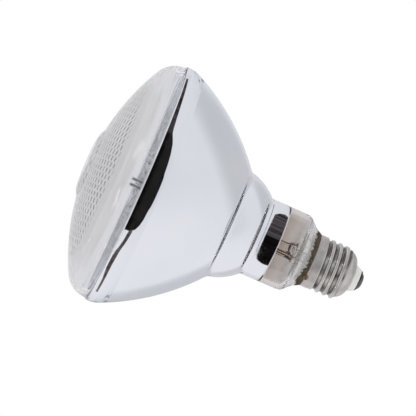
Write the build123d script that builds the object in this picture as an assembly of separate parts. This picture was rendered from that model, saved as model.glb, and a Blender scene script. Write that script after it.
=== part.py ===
from build123d import *
import math
import os

# Self-ballasted mercury vapor reflector bulb with an E27 screw cap.
# Millimetres. Z is the bulb's axis: the lens face is at Z = 0 and the cap points up.
# Depths are measured along Z from the fused seam between lens and reflector.

# Front lens
RIM_RADIUS = 59.5
LENS_HEIGHT = 25.4
LENS_WALL = 3.8
LENS_DOME_RADIUS = 114.0
LENS_CORNER_RADIUS = 12.0
BOSS_PROUD = 0.8
BOSS_FLAT_RADIUS = 10.5
BOSS_FOOT_RADIUS = 17.2
SEAM_EDGE_ROUND = 0.6
INDEX_RIB_COUNT = 2
INDEX_RIB_WIDTH = 1.4
INDEX_RIB_PROUD = 0.45
INDEX_RIB_SPACING = 2.8
INDEX_RIB_SWEEP = 24.0
INDEX_RIB_SIDE = -90.0

# Reflector bulb
BULB_WALL = 2.4
LIP_PROUD = 0.9
LIP_CREST_DEPTH = 1.6
LIP_ARC_RADIUS = 13.0
BOWL_ARC_RADIUS = 112.0
BOWL_DEPTH = 49.0
HEEL_RADIUS = 27.6
HEEL_CENTRE_DEPTH = 43.6
CREASE_FILLET = 2.2
NECK_RADIUS = 19.5
NECK_FILLET = 2.5
NECK_END_DEPTH = 81.7
SHOULDER_ROUND = 5.0
SHOULDER_ANGLE = 44.0
TAIL_RADIUS = 10.6
TAIL_FILLET = 1.5
TAIL_END_DEPTH = 97.6

# Mirror coating on the inside of the bowl
COATING_THICKNESS = 0.15
COATING_MARGIN = 0.5
COATING_END_DEPTH = 73.0

# Screw cap
CAP_WALL = 0.4
SKIRT_LENGTH = 4.0
SKIRT_PROUD = 0.05
THREAD_CREST_RADIUS = 13.2
THREAD_PITCH = 3.629
THREAD_ROUND = 1.025
THREAD_ROOT_LAND = 0.1
THREAD_BITE = 0.25
THREAD_LENGTH = 13.6
THREAD_LEAD_IN = 1.2
THREAD_FADE = 1.6
THREAD_PHASE = 128.0
CAP_END_ROUND = 6.6
CAP_END_SETBACK = 2.5
CAP_MOUTH_RADIUS = 6.7
INSULATOR_INSET = 4.0
INSULATOR_LENGTH = 3.2
INSULATOR_COLLAR = 0.4
INSULATOR_END_RADIUS = 5.4
CONTACT_RADIUS = 5.0
CONTACT_THICKNESS = 0.9
CONTACT_EDGE_ROUND = 0.4
SOLDER_RADIUS = 4.3
SOLDER_HEIGHT = 1.5
SOLDER_FLAT_RADIUS = 1.8
CEMENT_GAP = 1.0
CEMENT_RISE = 1.0
CEMENT_DEPTH = 3.4
SIDE_SOLDER_RADIUS = 1.5

# Stem and lead wires
STEM_TURN = 130.0
STEM_RADIUS = 5.2
STEM_WALL = 1.2
STEM_BORE_DEPTH = 83.1
PRESS_LENGTH = 5.0
PRESS_BLEND = 3.4
PRESS_HALF_WIDTH = 5.6
PRESS_HALF_THICKNESS = 2.2
SEAL_SPACING = 6.2
SEAL_RADIUS = 0.5
SEAL_STANDOFF = 0.3
EXHAUST_RADIUS = 1.6
EXHAUST_WALL = 0.6
EXHAUST_TIP_REACH = 5.0
LEAD_RADIUS = 0.3
LEAD_BEND = 1.2
BEND_SHARE = 0.9
SIDE_LEAD_RADIUS = 0.24
SIDE_LEAD_BEND = 0.5
SIDE_LEAD_DROP = 2.6
CENTRE_LEAD_RUN = 2.0
CENTRE_LEAD_SLANT = 4.0

# Arc tube
ARC_CENTRE_DEPTH = 40.0
ARC_RADIUS = 6.0
ARC_WALL = 1.1
ARC_LENGTH = 34.0
PINCH_LENGTH = 9.0
PINCH_WIDTH = 11.0
PINCH_THICKNESS = 3.2
PINCH_EDGE_ROUND = 1.2
PINCH_BITE = 4.0
ELECTRODE_RADIUS = 0.4
ELECTRODE_REACH = 6.0
ELECTRODE_ROOT = 2.4
COIL_TIP_RADIUS = 1.1
COIL_TIP_LENGTH = 3.6
COIL_TIP_SETBACK = 0.8
PROBE_OFFSET = 3.6
PROBE_REACH = 3.6
PROBE_RADIUS = 0.3
FOIL_LENGTH = 4.5
FOIL_WIDTH = 2.0
FOIL_THICKNESS = 0.12
ARC_LEAD_RADIUS = 0.35
MERCURY_RADIUS = 0.7
MERCURY_ANGLE = 45.0

# Mount frame
ROD_RADIUS = 0.6
ROD_BEND = 2.0
ROD_OFFSET = 13.0
ROD_RUN = 2.0
CROSSBAR_GAP = 3.0
STRAP_THICKNESS = 0.5
STRAP_HEIGHT = 3.0
STRAP_SETBACK = 5.5
FILAMENT_RADIUS = 0.8
HAIRPIN_OFFSET = 12.0
HAIRPIN_HALF_WIDTH = 3.5
HAIRPIN_REAR_DEPTH = 60.0
HAIRPIN_LENGTH = 40.0
HAIRPIN_LEAD_RUN = 3.5
HOOK_RADIUS = 0.3
BEAD_RADIUS = 1.9
BEAD_LENGTH = 4.0
BEAD_OFFSET = 8.0
BEAD_EDGE_ROUND = 0.8
BEAD_CORE = 1.0
HOOK_RISE = 5.5
RESISTOR_RADIUS = 1.6
RESISTOR_LENGTH = 8.0
RESISTOR_DEPTH = 58.0
RESISTOR_X = -8.5
RESISTOR_Y = 5.5
RESISTOR_LEAD_RUN = 2.4
PROBE_LEAD_RUN = 2.4
REAR_LEAD_RUN = 4.0
REAR_LEAD_FALL = 6.5

# Clearance between a wire, pin or strap and its seat
SEAT_GAP = 0.05


def point(radius, height):
    """A place on the meridian half plane."""
    return Vector(radius, 0, height)


def toward(centre, target, reach):
    """The point at a reach from a centre, on the line to a target."""
    return centre + (target - centre).normalized() * reach


def meeting(centre_a, reach_a, centre_b, reach_b, side):
    """The point at given reaches from two centres; side 1 is outward and -1 inward."""
    span = centre_b - centre_a
    along = (reach_a**2 - reach_b**2 + span.length**2) / (2 * span.length)
    across = math.sqrt(reach_a**2 - along**2)
    normal = Vector(span.Z, 0, -span.X).normalized()
    return centre_a + span.normalized() * along + normal * (across * side)


def arc(centre, start, end):
    """The shorter arc about a centre, from start to end."""
    radius = (start - centre).length
    middle = centre + ((start - centre) + (end - centre)).normalized() * radius
    return ThreePointArc(start, middle, end)


def turned(edges):
    """The solid that a closed meridian outline sweeps about Z."""
    return revolve(Face(Wire(edges)), Axis.Z)


def chain(*stations):
    """Straight edges through a row of stations."""
    return [Line(first, second) for first, second in zip(stations, stations[1:])]


def wire(radius, stations, bend):
    """A round wire along straight runs joined by bends."""
    path = FilletPolyline(*stations, radius=bend)
    return sweep(Plane(path @ 0, z_dir=path % 0) * Circle(radius), path)


def fitting_bend(before, corner, after, bend):
    """A bend, made smaller where the shorter run at its corner leaves too little room."""
    first = Vector(before) - Vector(corner)
    second = Vector(after) - Vector(corner)
    room = BEND_SHARE * min(first.length, second.length)
    return min(bend, room * math.tan(math.radians(first.get_angle(second) / 2)))


def rod(radius, start, end):
    """A straight round rod between two points."""
    axis = Vector(end) - Vector(start)
    return extrude(Plane(start, z_dir=axis) * Circle(radius), axis.length)


def in_stem(part):
    """Turn a piece from the stem's own frame into the bulb's frame."""
    return Rot(0, 0, STEM_TURN) * part


# Places that follow from the sizes

seam = LENS_HEIGHT
land_radius = RIM_RADIUS - LENS_WALL

dome_centre = point(0, BOSS_PROUD + LENS_DOME_RADIUS)
corner_x = RIM_RADIUS - LENS_CORNER_RADIUS
corner_rise = math.sqrt((LENS_DOME_RADIUS - LENS_CORNER_RADIUS) ** 2 - corner_x**2)
corner_centre = point(corner_x, dome_centre.Z - corner_rise)

lip_radius = RIM_RADIUS + LIP_PROUD
lip_centre = point(lip_radius - LIP_ARC_RADIUS, seam + LIP_CREST_DEPTH)
heel_centre = point(0, seam + HEEL_CENTRE_DEPTH)
crease_radius = math.sqrt(HEEL_RADIUS**2 - (BOWL_DEPTH - HEEL_CENTRE_DEPTH) ** 2)
crease = point(crease_radius, seam + BOWL_DEPTH)
bowl_centre = meeting(
    lip_centre, BOWL_ARC_RADIUS - LIP_ARC_RADIUS, crease, BOWL_ARC_RADIUS, -1
)
crease_centre = meeting(
    bowl_centre, BOWL_ARC_RADIUS + CREASE_FILLET, heel_centre, HEEL_RADIUS + CREASE_FILLET, 1
)
neck_rise = math.sqrt((HEEL_RADIUS + NECK_FILLET) ** 2 - (NECK_RADIUS + NECK_FILLET) ** 2)
neck_centre = point(NECK_RADIUS + NECK_FILLET, heel_centre.Z + neck_rise)

shoulder_centre = point(NECK_RADIUS - SHOULDER_ROUND, seam + NECK_END_DEPTH)
cone_normal = point(
    math.cos(math.radians(SHOULDER_ANGLE)), math.sin(math.radians(SHOULDER_ANGLE))
)
cone_reach = shoulder_centre.dot(cone_normal) + SHOULDER_ROUND
tail_x = TAIL_RADIUS + TAIL_FILLET
tail_centre = point(tail_x, (cone_reach + TAIL_FILLET - cone_normal.X * tail_x) / cone_normal.Z)
tail_end = seam + TAIL_END_DEPTH

skirt_radius = THREAD_CREST_RADIUS + SKIRT_PROUD
skirt_bore = skirt_radius - CAP_WALL
thread_slack = math.sqrt(4 * THREAD_ROUND**2 - (THREAD_PITCH / 2) ** 2)
thread_bottom = THREAD_CREST_RADIUS - 2 * THREAD_ROUND + thread_slack
root_radius = thread_bottom + THREAD_ROOT_LAND


def cone_height(radius):
    """Height at which the shoulder's cone has a given radius."""
    return (cone_reach - cone_normal.X * radius) / cone_normal.Z


def cone_radius(height):
    """Radius of the shoulder's cone at a given height."""
    return (cone_reach - cone_normal.Z * height) / cone_normal.X


cap_rim = cone_height(skirt_bore - CEMENT_GAP)
skirt_end = cap_rim + SKIRT_LENGTH
thread_start = skirt_end + skirt_radius - root_radius
thread_end = skirt_end + THREAD_LENGTH
cap_end_centre = point(root_radius - CAP_END_ROUND, thread_end - CAP_END_SETBACK)


def cap_end_height(radius, inset):
    """Height of the rounded cap end at a radius, on its outside or at an inset."""
    reach = CAP_END_ROUND - inset
    return cap_end_centre.Z + math.sqrt(reach**2 - (radius - cap_end_centre.X) ** 2)


def cap_end_radius(height, inset):
    """Radius of the rounded cap end at a height, on its outside or at an inset."""
    reach = CAP_END_ROUND - inset
    return cap_end_centre.X + math.sqrt(reach**2 - (height - cap_end_centre.Z) ** 2)


mouth_height = cap_end_height(CAP_MOUTH_RADIUS, 0)
insulator_end = mouth_height + INSULATOR_LENGTH
contact_end = insulator_end + CONTACT_THICKNESS

press_tip = seam + STEM_BORE_DEPTH - PRESS_BLEND - PRESS_LENGTH
bore_end = seam + STEM_BORE_DEPTH
seal_x = SEAL_SPACING / 2
seal_low = press_tip - SEAL_STANDOFF
seal_high = bore_end + SEAL_STANDOFF

arc_centre = seam + ARC_CENTRE_DEPTH
hemisphere_offset = ARC_LENGTH / 2 - ARC_RADIUS
cavity_end = ARC_LENGTH / 2 - ARC_WALL
foil_start = cavity_end + ELECTRODE_ROOT
foil_end = foil_start + FOIL_LENGTH
pinch_end = ARC_LENGTH / 2 + PINCH_LENGTH
strap_middle = pinch_end - STRAP_SETBACK
probe_rise = math.sqrt((ARC_RADIUS - ARC_WALL) ** 2 - PROBE_OFFSET**2)
probe_cavity_end = hemisphere_offset + probe_rise

hairpin_rear = seam + HAIRPIN_REAR_DEPTH
hairpin_bend = hairpin_rear - HAIRPIN_LENGTH
hairpin_apex = hairpin_bend - HAIRPIN_HALF_WIDTH
crossbar_height = min(arc_centre - pinch_end - CROSSBAR_GAP, hairpin_apex - HOOK_RISE)
resistor_rear = seam + RESISTOR_DEPTH + RESISTOR_LENGTH


# Glass envelope

def index_rib(angle):
    """One moulded rib on the lens flange, running round the corner to the seam."""
    deep = LENS_CORNER_RADIUS - INDEX_RIB_PROUD
    high = LENS_CORNER_RADIUS + INDEX_RIB_PROUD
    top = LENS_HEIGHT - SEAM_EDGE_ROUND
    lean = math.radians(INDEX_RIB_SWEEP)
    low_way = point(math.cos(lean), -math.sin(lean))
    outline = [
        arc(corner_centre, corner_centre + low_way * high, corner_centre + point(high, 0)),
        *chain(
            corner_centre + point(high, 0),
            point(corner_centre.X + high, top),
            point(corner_centre.X + deep, top),
            corner_centre + point(deep, 0),
        ),
        arc(corner_centre, corner_centre + point(deep, 0), corner_centre + low_way * deep),
        Line(corner_centre + low_way * deep, corner_centre + low_way * high),
    ]
    rib = extrude(Face(Wire(outline)), INDEX_RIB_WIDTH / 2, both=True)
    return Rot(0, 0, angle) * rib


def front_lens():
    foot_reach = math.sqrt(LENS_DOME_RADIUS**2 - BOSS_FOOT_RADIUS**2)
    boss_edge = point(BOSS_FLAT_RADIUS, 0)
    boss_foot = point(BOSS_FOOT_RADIUS, dome_centre.Z - foot_reach)
    dome_end = toward(dome_centre, corner_centre, LENS_DOME_RADIUS)
    inner_dome_end = toward(dome_centre, corner_centre, LENS_DOME_RADIUS - LENS_WALL)
    inner_apex = point(0, BOSS_PROUD + LENS_WALL)
    flange_start = point(RIM_RADIUS, corner_centre.Z)
    edge_centre = point(RIM_RADIUS - SEAM_EDGE_ROUND, seam - SEAM_EDGE_ROUND)
    edge_start = point(RIM_RADIUS, edge_centre.Z)
    edge_end = point(edge_centre.X, seam)
    inner_corner = point(land_radius, corner_centre.Z)
    lens = turned(
        [
            Line(point(0, 0), boss_edge),
            TangentArc(boss_edge, boss_foot, tangent=(1, 0, 0)),
            arc(dome_centre, boss_foot, dome_end),
            arc(corner_centre, dome_end, flange_start),
            Line(flange_start, edge_start),
            arc(edge_centre, edge_start, edge_end),
            *chain(edge_end, point(land_radius, seam), inner_corner),
            arc(corner_centre, inner_corner, inner_dome_end),
            arc(dome_centre, inner_dome_end, inner_apex),
            Line(inner_apex, point(0, 0)),
        ]
    )
    step = math.degrees(INDEX_RIB_SPACING / RIM_RADIUS)
    for place in range(INDEX_RIB_COUNT):
        lens += index_rib(INDEX_RIB_SIDE + step * (place - (INDEX_RIB_COUNT - 1) / 2))
    return lens


def bowl_start(inset):
    """Where the bowl's arc leaves the straight land behind the seam, at an inset."""
    radius = land_radius - (inset - BULB_WALL)
    rise = math.sqrt((BOWL_ARC_RADIUS - inset) ** 2 - (radius - bowl_centre.X) ** 2)
    return point(radius, bowl_centre.Z + rise)


def bowl_to_neck(start, inset):
    """Bowl, crease and heel edges at an inset from the outside, and their end point."""
    crease_start = toward(bowl_centre, crease_centre, BOWL_ARC_RADIUS - inset)
    crease_end = toward(heel_centre, crease_centre, HEEL_RADIUS - inset)
    heel_end = toward(heel_centre, neck_centre, HEEL_RADIUS - inset)
    neck_start = point(NECK_RADIUS - inset, neck_centre.Z)
    edges = [
        arc(bowl_centre, start, crease_start),
        arc(crease_centre, crease_start, crease_end),
        arc(heel_centre, crease_end, heel_end),
        arc(neck_centre, heel_end, neck_start),
    ]
    return edges, neck_start


def neck_to_tail(neck_start, inset):
    """Neck, shoulder and tail edges at an inset from the outside, and their end point."""
    neck_end = point(NECK_RADIUS - inset, shoulder_centre.Z)
    shoulder_end = shoulder_centre + cone_normal * (SHOULDER_ROUND - inset)
    cone_end = tail_centre - cone_normal * (TAIL_FILLET + inset)
    tail_start = point(TAIL_RADIUS - inset, tail_centre.Z)
    last = point(TAIL_RADIUS - inset, tail_end)
    edges = [
        Line(neck_start, neck_end),
        arc(shoulder_centre, neck_end, shoulder_end),
        Line(shoulder_end, cone_end),
        arc(tail_centre, cone_end, tail_start),
        Line(tail_start, last),
    ]
    return edges, last


def reflector_bulb():
    edge_centre = point(lip_radius - SEAM_EDGE_ROUND, seam + SEAM_EDGE_ROUND)
    edge_start = point(edge_centre.X, seam)
    edge_end = point(lip_radius, edge_centre.Z)
    lip_crest = point(lip_radius, lip_centre.Z)
    lip_end = toward(bowl_centre, lip_centre, BOWL_ARC_RADIUS)
    land = point(land_radius, seam)
    outer_bowl, outer_neck = bowl_to_neck(lip_end, 0)
    outer_tail, outer_last = neck_to_tail(outer_neck, 0)
    inner_bowl, inner_neck = bowl_to_neck(bowl_start(BULB_WALL), BULB_WALL)
    inner_tail, inner_last = neck_to_tail(inner_neck, BULB_WALL)
    return turned(
        [
            Line(land, edge_start),
            arc(edge_centre, edge_start, edge_end),
            Line(edge_end, lip_crest),
            arc(lip_centre, lip_crest, lip_end),
            *outer_bowl,
            *outer_tail,
            Line(outer_last, inner_last),
            *inner_tail,
            *inner_bowl,
            Line(bowl_start(BULB_WALL), land),
        ]
    )


def mirror_coating():
    inset = BULB_WALL + COATING_THICKNESS
    start_height = seam + COATING_MARGIN
    end_height = seam + COATING_END_DEPTH
    back_start = bowl_start(BULB_WALL)
    face_start = bowl_start(inset)
    back_bowl, back_neck = bowl_to_neck(back_start, BULB_WALL)
    face_bowl, face_neck = bowl_to_neck(face_start, inset)
    return turned(
        [
            Line(point(back_start.X, start_height), back_start),
            *back_bowl,
            *chain(
                back_neck,
                point(back_neck.X, end_height),
                point(face_neck.X, end_height),
                face_neck,
            ),
            *face_bowl,
            *chain(
                face_start,
                point(face_start.X, start_height),
                point(back_start.X, start_height),
            ),
        ]
    )


# Screw cap

def thread_section(inset):
    """Section of the rolled thread over its root, outside or at the wall's inside."""
    foot = thread_bottom + THREAD_ROOT_LAND / 2 - inset
    base = foot - THREAD_BITE
    crest_centre = point(THREAD_CREST_RADIUS - THREAD_ROUND, 0)
    flank_centre = point(thread_bottom + THREAD_ROUND, THREAD_PITCH / 2)
    low_flank_centre = point(flank_centre.X, -flank_centre.Z)
    flank_reach = THREAD_ROUND + inset
    foot_drop = math.sqrt(flank_reach**2 - (flank_centre.X - foot) ** 2)
    high_foot = point(foot, flank_centre.Z - foot_drop)
    low_foot = point(foot, -high_foot.Z)
    high_turn = toward(crest_centre, flank_centre, THREAD_ROUND - inset)
    low_turn = point(high_turn.X, -high_turn.Z)
    crest = point(THREAD_CREST_RADIUS - inset, 0)
    return Face(
        Wire(
            [
                Line(point(base, low_foot.Z), low_foot),
                arc(low_flank_centre, low_foot, low_turn),
                ThreePointArc(low_turn, crest, high_turn),
                arc(flank_centre, high_turn, high_foot),
                *chain(high_foot, point(base, high_foot.Z), point(base, low_foot.Z)),
            ]
        )
    )


def thread_ridge(inset):
    """The helical ridge, from under the skirt to the rounded end."""
    start = skirt_end - THREAD_LEAD_IN
    path = Helix(THREAD_PITCH, thread_end - start, THREAD_CREST_RADIUS)
    ridge = sweep(thread_section(inset), path=path, is_frenet=True)
    return Pos(0, 0, start) * Rot(0, 0, THREAD_PHASE) * ridge


def cap_barrel(inset):
    """Skirt and thread root as a plain solid, outside or at the wall's inside."""
    skirt = skirt_radius - inset
    root = root_radius - inset
    return turned(
        chain(
            point(0, cap_rim),
            point(skirt, cap_rim),
            point(skirt, skirt_end),
            point(root, thread_start),
            point(root, insulator_end),
            point(0, insulator_end),
            point(0, cap_rim),
        )
    )


def cap_limit(inset):
    """The form that the thread fades into: a taper and the rounded end."""
    low = cap_rim - THREAD_PITCH
    wide = skirt_radius + THREAD_ROOT_LAND - inset
    fade_end = point(cap_end_radius(thread_end, inset), thread_end)
    mouth = point(CAP_MOUTH_RADIUS, cap_end_height(CAP_MOUTH_RADIUS, inset))
    return turned(
        [
            *chain(point(0, low), point(wide, low), point(wide, thread_end - THREAD_FADE), fade_end),
            arc(cap_end_centre, fade_end, mouth),
            *chain(mouth, point(0, mouth.Z), point(0, low)),
        ]
    )


def cap_body(inset):
    """The threaded shell as a solid, outside or at the wall's inside."""
    return (cap_barrel(inset) + thread_ridge(inset)) & cap_limit(inset)


def cap_shell():
    mouth_bore = rod(CAP_MOUTH_RADIUS, point(0, thread_end), point(0, insulator_end))
    return cap_body(0) - cap_body(CAP_WALL) - mouth_bore


def cap_insulator():
    hole = LEAD_RADIUS + SEAT_GAP
    inset = CAP_WALL + SEAT_GAP
    inner_height = cap_end_centre.Z + INSULATOR_INSET
    flange_reach = math.sqrt((CAP_END_ROUND - inset) ** 2 - INSULATOR_INSET**2)
    flange = point(cap_end_centre.X + flange_reach, inner_height)
    throat_radius = CAP_MOUTH_RADIUS - SEAT_GAP
    throat = point(throat_radius, cap_end_height(throat_radius, inset))
    collar = point(throat_radius, mouth_height + INSULATOR_COLLAR)
    return turned(
        [
            Line(point(hole, inner_height), flange),
            arc(cap_end_centre, flange, throat),
            *chain(
                throat,
                collar,
                point(INSULATOR_END_RADIUS, insulator_end),
                point(hole, insulator_end),
                point(hole, inner_height),
            ),
        ]
    )


def contact_plate():
    hole = LEAD_RADIUS + SEAT_GAP
    edge_centre = point(CONTACT_RADIUS - CONTACT_EDGE_ROUND, contact_end - CONTACT_EDGE_ROUND)
    edge_start = point(CONTACT_RADIUS, edge_centre.Z)
    edge_end = point(edge_centre.X, contact_end)
    return turned(
        [
            *chain(
                point(hole, insulator_end), point(CONTACT_RADIUS, insulator_end), edge_start
            ),
            arc(edge_centre, edge_start, edge_end),
            *chain(edge_end, point(hole, contact_end), point(hole, insulator_end)),
        ]
    )


def contact_solder():
    width = SOLDER_RADIUS - SOLDER_FLAT_RADIUS
    slump_radius = (width**2 + SOLDER_HEIGHT**2) / (2 * SOLDER_HEIGHT)
    top = contact_end + SOLDER_HEIGHT
    flat_end = point(SOLDER_FLAT_RADIUS, top)
    edge = point(SOLDER_RADIUS, contact_end)
    slump_centre = point(SOLDER_FLAT_RADIUS, top - slump_radius)
    return turned(
        [
            arc(slump_centre, edge, flat_end),
            *chain(flat_end, point(0, top), point(0, contact_end), edge),
        ]
    )


def side_lead_path():
    """Stations of the side lead: down the stem, round the tail and out past the rim."""
    lane = (TAIL_RADIUS + root_radius - CAP_WALL) / 2
    turn_height = tail_end + SIDE_LEAD_DROP
    gap_middle = cone_reach + cone_normal.X * CEMENT_GAP / 2
    lane_top = (gap_middle - cone_normal.X * lane) / cone_normal.Z
    out_height = cap_rim - LEAD_RADIUS
    out = (gap_middle - cone_normal.Z * out_height) / cone_normal.X
    return [
        (-seal_x, 0, seal_high),
        (-seal_x, 0, turn_height),
        (-lane, 0, turn_height),
        (-lane, 0, lane_top),
        (-out, 0, out_height),
    ]


def side_lead():
    return in_stem(wire(SIDE_LEAD_RADIUS, side_lead_path(), SIDE_LEAD_BEND))


def basing_cement():
    rise = point(cone_radius(cap_rim - CEMENT_RISE), cap_rim - CEMENT_RISE)
    cone_end = tail_centre - cone_normal * TAIL_FILLET
    tail_start = point(TAIL_RADIUS, tail_centre.Z)
    floor = cap_rim + CEMENT_DEPTH
    ring = turned(
        [
            *chain(
                rise,
                point(skirt_radius, cap_rim),
                point(skirt_bore, cap_rim),
                point(skirt_bore, floor),
                point(TAIL_RADIUS, floor),
                tail_start,
            ),
            arc(tail_centre, tail_start, cone_end),
            Line(cone_end, rise),
        ]
    )
    groove = wire(SIDE_LEAD_RADIUS + SEAT_GAP, side_lead_path(), SIDE_LEAD_BEND)
    return ring - in_stem(groove)


def side_solder(neighbours):
    """Solder that joins the end of the side lead to the shell's rim."""
    place = in_stem(Pos(-skirt_radius, 0, cap_rim))
    blob = place * Sphere(SIDE_SOLDER_RADIUS)
    for neighbour in neighbours:
        blob -= neighbour
    return blob.solids().sort_by(SortBy.VOLUME)[-1]


# Stem

def stem():
    bore = STEM_RADIUS - STEM_WALL
    tail_bore = TAIL_RADIUS - BULB_WALL
    flare_centre = point(tail_bore, tail_end - (tail_bore - STEM_RADIUS))
    flare_rim = tail_end + STEM_WALL
    tube_end = point(STEM_RADIUS, flare_centre.Z)
    flare_end = point(tail_bore, tail_end)
    bore_turn = point(tail_bore, flare_rim)
    bore_low = point(bore, flare_centre.Z)
    flare = turned(
        [
            Line(point(STEM_RADIUS, bore_end), tube_end),
            arc(flare_centre, tube_end, flare_end),
            *chain(
                flare_end, point(TAIL_RADIUS, tail_end), point(TAIL_RADIUS, flare_rim), bore_turn
            ),
            arc(flare_centre, bore_turn, bore_low),
            *chain(bore_low, point(bore, bore_end), point(STEM_RADIUS, bore_end)),
        ]
    )
    oval = Ellipse(PRESS_HALF_WIDTH, PRESS_HALF_THICKNESS)
    blend_start = press_tip + PRESS_LENGTH
    press = extrude(Pos(0, 0, press_tip) * oval, PRESS_LENGTH)
    blend = loft([Pos(0, 0, blend_start) * oval, Pos(0, 0, bore_end) * Circle(STEM_RADIUS)])
    glass = flare + press + blend
    for side in (1, -1):
        glass -= rod(
            SEAL_RADIUS + SEAT_GAP, (side * seal_x, 0, press_tip), (side * seal_x, 0, bore_end)
        )
    return in_stem(glass)


def press_seal(side):
    """A copper-clad seal in the press, of the centre (side 1) or the side lead (side -1)."""
    return in_stem(
        rod(SEAL_RADIUS, (side * seal_x, 0, seal_low), (side * seal_x, 0, seal_high))
    )


def exhaust_tube():
    bore = EXHAUST_RADIUS - EXHAUST_WALL
    tip_height = tail_end + EXHAUST_TIP_REACH
    tip_centre = point(0, tip_height - EXHAUST_RADIUS)
    shoulder = point(EXHAUST_RADIUS, tip_centre.Z)
    inner_shoulder = point(bore, tip_centre.Z)
    return turned(
        [
            *chain(point(bore, bore_end), point(EXHAUST_RADIUS, bore_end), shoulder),
            arc(tip_centre, shoulder, point(0, tip_height)),
            Line(point(0, tip_height), point(0, tip_height - EXHAUST_WALL)),
            arc(tip_centre, point(0, tip_height - EXHAUST_WALL), inner_shoulder),
            Line(inner_shoulder, point(bore, bore_end)),
        ]
    )


def centre_lead():
    slant_start = tail_end + EXHAUST_TIP_REACH + CENTRE_LEAD_RUN
    stations = [
        (seal_x, 0, seal_high),
        (seal_x, 0, slant_start),
        (0, 0, slant_start + CENTRE_LEAD_SLANT),
        (0, 0, contact_end),
    ]
    return in_stem(wire(LEAD_RADIUS, stations, LEAD_BEND))


# Arc tube, modelled about its own centre with its rear end up

def place_arc(part):
    """Move a piece from the arc tube's own frame into the bulb's frame."""
    return in_stem(Pos(0, 0, arc_centre) * part)


def capsule(radius, half_length):
    """A round-ended cylinder along Z about the origin."""
    straight = half_length - radius
    high_centre = point(0, straight)
    low_centre = point(0, -straight)
    high_side = point(radius, straight)
    low_side = point(radius, -straight)
    return turned(
        [
            arc(low_centre, point(0, -half_length), low_side),
            Line(low_side, high_side),
            arc(high_centre, high_side, point(0, half_length)),
            Line(point(0, half_length), point(0, -half_length)),
        ]
    )


def main_electrode(gap, side):
    """A main electrode with its wound tip, at the rear (side 1) or the front (side -1)."""
    tip = side * (cavity_end - ELECTRODE_REACH)
    shank = rod(ELECTRODE_RADIUS + gap, (0, 0, tip), (0, 0, side * foil_start))
    coil_start = tip + side * COIL_TIP_SETBACK
    coil_end = coil_start + side * COIL_TIP_LENGTH
    return shank + rod(COIL_TIP_RADIUS + gap, (0, 0, coil_start), (0, 0, coil_end))


def starting_probe(gap):
    """The starting electrode beside the rear main electrode."""
    tip = probe_cavity_end - PROBE_REACH
    return rod(PROBE_RADIUS + gap, (-PROBE_OFFSET, 0, tip), (-PROBE_OFFSET, 0, foil_start))


def foil(gap, offset, side):
    """One sealing foil in a pinch."""
    strip = Box(FOIL_WIDTH + 2 * gap, FOIL_THICKNESS + 2 * gap, FOIL_LENGTH)
    return Pos(offset, 0, side * (foil_start + foil_end) / 2) * strip


def lead_hole(offset, side):
    """The bore that an outer lead leaves a pinch through."""
    start = (offset, 0, side * foil_end)
    return rod(ARC_LEAD_RADIUS + SEAT_GAP, start, (offset, 0, side * pinch_end))


def foil_places():
    """Offset and end of each foil: two main ones and the probe's."""
    return [(0, 1), (0, -1), (-PROBE_OFFSET, 1)]


def arc_tube():
    quartz = capsule(ARC_RADIUS, ARC_LENGTH / 2)
    profile = RectangleRounded(PINCH_WIDTH, PINCH_THICKNESS, PINCH_EDGE_ROUND)
    pinch = extrude(Pos(0, 0, ARC_LENGTH / 2 - PINCH_BITE) * profile, PINCH_LENGTH + PINCH_BITE)
    quartz += pinch
    quartz += Rot(180, 0, 0) * pinch
    quartz -= capsule(ARC_RADIUS - ARC_WALL, cavity_end)
    for side in (1, -1):
        quartz -= main_electrode(SEAT_GAP, side)
    quartz -= starting_probe(SEAT_GAP)
    for offset, side in foil_places():
        quartz -= foil(SEAT_GAP, offset, side)
        quartz -= lead_hole(offset, side)
    return place_arc(quartz)


def seal_foils():
    return place_arc(Compound(children=[foil(0, offset, side) for offset, side in foil_places()]))


def mercury_drop():
    reach = ARC_RADIUS - ARC_WALL - MERCURY_RADIUS - SEAT_GAP
    lean = math.radians(MERCURY_ANGLE)
    height = -hemisphere_offset - reach * math.cos(lean)
    return place_arc(Pos(0, reach * math.sin(lean), height) * Sphere(MERCURY_RADIUS))


def front_arc_lead():
    end = crossbar_height + ROD_RADIUS + SEAT_GAP - arc_centre
    return place_arc(rod(ARC_LEAD_RADIUS, (0, 0, -foil_end), (0, 0, end)))


def rear_arc_lead():
    leg_rear = hairpin_rear - arc_centre
    crossing = pinch_end + REAR_LEAD_RUN
    landing = max(leg_rear + HAIRPIN_LEAD_RUN, crossing - REAR_LEAD_FALL)
    stations = [
        (0, 0, foil_end),
        (0, 0, crossing),
        (HAIRPIN_OFFSET, -HAIRPIN_HALF_WIDTH, landing),
        (HAIRPIN_OFFSET, -HAIRPIN_HALF_WIDTH, leg_rear),
    ]
    return place_arc(wire(ARC_LEAD_RADIUS, stations, LEAD_BEND))


def probe_lead():
    rear = resistor_rear - arc_centre
    stations = [
        (-PROBE_OFFSET, 0, foil_end),
        (-PROBE_OFFSET, 0, pinch_end + PROBE_LEAD_RUN),
        (RESISTOR_X, RESISTOR_Y, max(pinch_end, rear) + PROBE_LEAD_RUN),
        (RESISTOR_X, RESISTOR_Y, rear),
    ]
    bends = [LEAD_BEND, fitting_bend(*stations[1:], LEAD_BEND)]
    return place_arc(wire(ARC_LEAD_RADIUS, stations, bends))


# Mount frame

def long_frame_rod():
    slant_start = seal_low - ROD_RUN
    slant_end = arc_centre + strap_middle + STRAP_HEIGHT / 2 + ROD_BEND
    bead_seat = BEAD_OFFSET + (BEAD_LENGTH - BEAD_CORE) / 2
    stations = [
        (-seal_x, 0, seal_low),
        (-seal_x, 0, slant_start),
        (-ROD_OFFSET, 0, slant_end),
        (-ROD_OFFSET, 0, crossbar_height),
        (bead_seat, 0, crossbar_height),
    ]
    return in_stem(wire(ROD_RADIUS, stations, ROD_BEND))


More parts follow.
